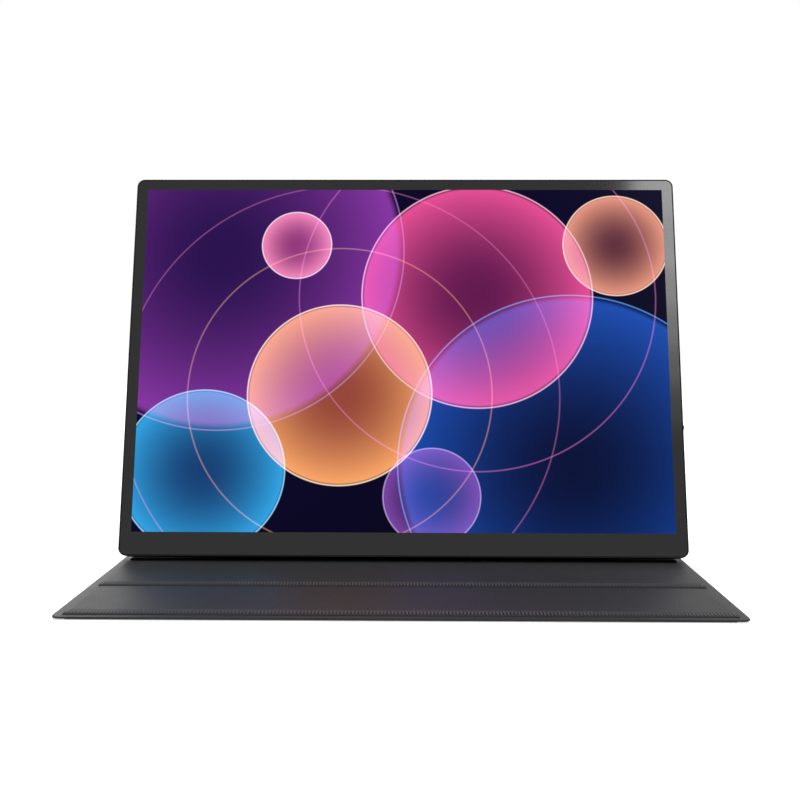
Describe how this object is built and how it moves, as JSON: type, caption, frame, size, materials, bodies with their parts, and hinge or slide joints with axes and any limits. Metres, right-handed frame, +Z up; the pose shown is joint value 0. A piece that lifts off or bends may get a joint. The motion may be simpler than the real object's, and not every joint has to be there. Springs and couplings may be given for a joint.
{
  "type": "portable monitor with folding cover",
  "caption": "Slim flat touch monitor standing on a folding leather cover: flap with grip strips, spine, strut and magnetic head panel, with side sockets and a push button.",
  "frame": {"origin": "on the table under the lower front edge of the glass, at the middle of the cover's width", "axes": "+X to the viewer's right along the screen, +Y away from the viewer, +Z up"},
  "size_m": [0.233, 0.1757, 0.1605],
  "materials": {
    "housing_black": "bead-blasted and anodised black",
    "cover_glass": "polished, black border printed on its back",
    "adhesive": "matt",
    "sensor_film": "clear film",
    "cell": "polished",
    "film": "satin",
    "lamp": "gloss",
    "frame_plastic": "matt",
    "sheet_metal": "bright",
    "tray_metal": "satin",
    "magnet": "nickel plated",
    "circuit": "solder mask",
    "chip": "matt",
    "flex": "gloss film",
    "pad": "soft",
    "socket_metal": "drawn",
    "switch": "gloss",
    "leather": "fine grained black",
    "lining": "fine grained dark grey",
    "board": "raw",
    "grip": "knurled matt"
  },
  "bodies": {
    "front_flap": {"flap_skin": "leather", "flap_board": "board", "flap_lining": "lining", "flap_magnets": "magnet", "grip_strip_rear": "grip", "grip_strip_middle": "grip", "grip_strip_front": "grip"},
    "spine": {"spine_skin": "leather", "spine_board": "board", "spine_lining": "lining"},
    "fold_crease": {"fold_crease": "leather"},
    "strut": {"strut_skin": "leather", "strut_board": "board", "strut_lining": "lining"},
    "head_panel": {"head_skin": "leather", "head_board": "board", "head_lining": "lining", "head_magnets": "magnet"},
    "monitor": {"rear_housing": "housing_black", "cover_glass": "cover_glass", "glass_tape": "adhesive", "touch_sensor": "sensor_film", "lcd_cell": "cell", "optical_films": "film", "light_guide": "film", "reflector_sheet": "film", "edge_light": "lamp", "panel_frame": "frame_plastic", "panel_tray": "tray_metal", "panel_pads": "adhesive", "driver_board": "circuit", "display_flex": "flex", "touch_board": "circuit", "touch_flex": "flex", "main_board": "circuit", "board_chips": "chip", "shield_can": "sheet_metal", "thermal_pad": "pad", "usb_c_sockets": "socket_metal", "mini_hdmi_socket": "socket_metal", "panel_cable": "flex", "speakers": "frame_plastic", "button_board": "circuit", "button_switch": "switch", "board_screws": "sheet_metal", "holding_magnets": "magnet", "closing_plates": "sheet_metal"},
    "side_button": {"side_button": "housing_black"}
  },
  "joints": [
    {"name": "spine_fold", "type": "hinge", "parent": "spine", "child": "front_flap", "pos_m": [0, 0.07165, 0.0004], "axis": [1, 0, 0], "range_deg": [0, 90]},
    {"name": "cover_open", "type": "hinge", "parent": "fold_crease", "child": "spine", "pos_m": [0, 0.08335, 0.0004], "axis": [1, 0, 0], "range_deg": [0, 90]},
    {"name": "stand_lean", "type": "hinge", "parent": "fold_crease", "child": "strut", "pos_m": [0, 0.08335, 0.0004], "axis": [1, 0, 0], "range_deg": [-15, 21]},
    {"name": "head_fold", "type": "hinge", "parent": "strut", "child": "head_panel", "pos_m": [0, 0.0453, 0.13777], "axis": [1, 0, 0], "range_deg": [-42, 30]},
    {"name": "monitor_release", "type": "slide", "parent": "head_panel", "child": "monitor", "axis": [0, -0.9659, 0.2588], "range_m": [0, 0.06]},
    {"name": "button_press", "type": "slide", "parent": "monitor", "child": "side_button", "axis": [-1, 0, 0], "range_m": [0, 0.00035], "stiffness_N_per_m": 600, "springref_m": -0.001}
  ],
  "couplings": [
    {"joint": "head_fold", "follows": "stand_lean", "ratio": -2}
  ]
}
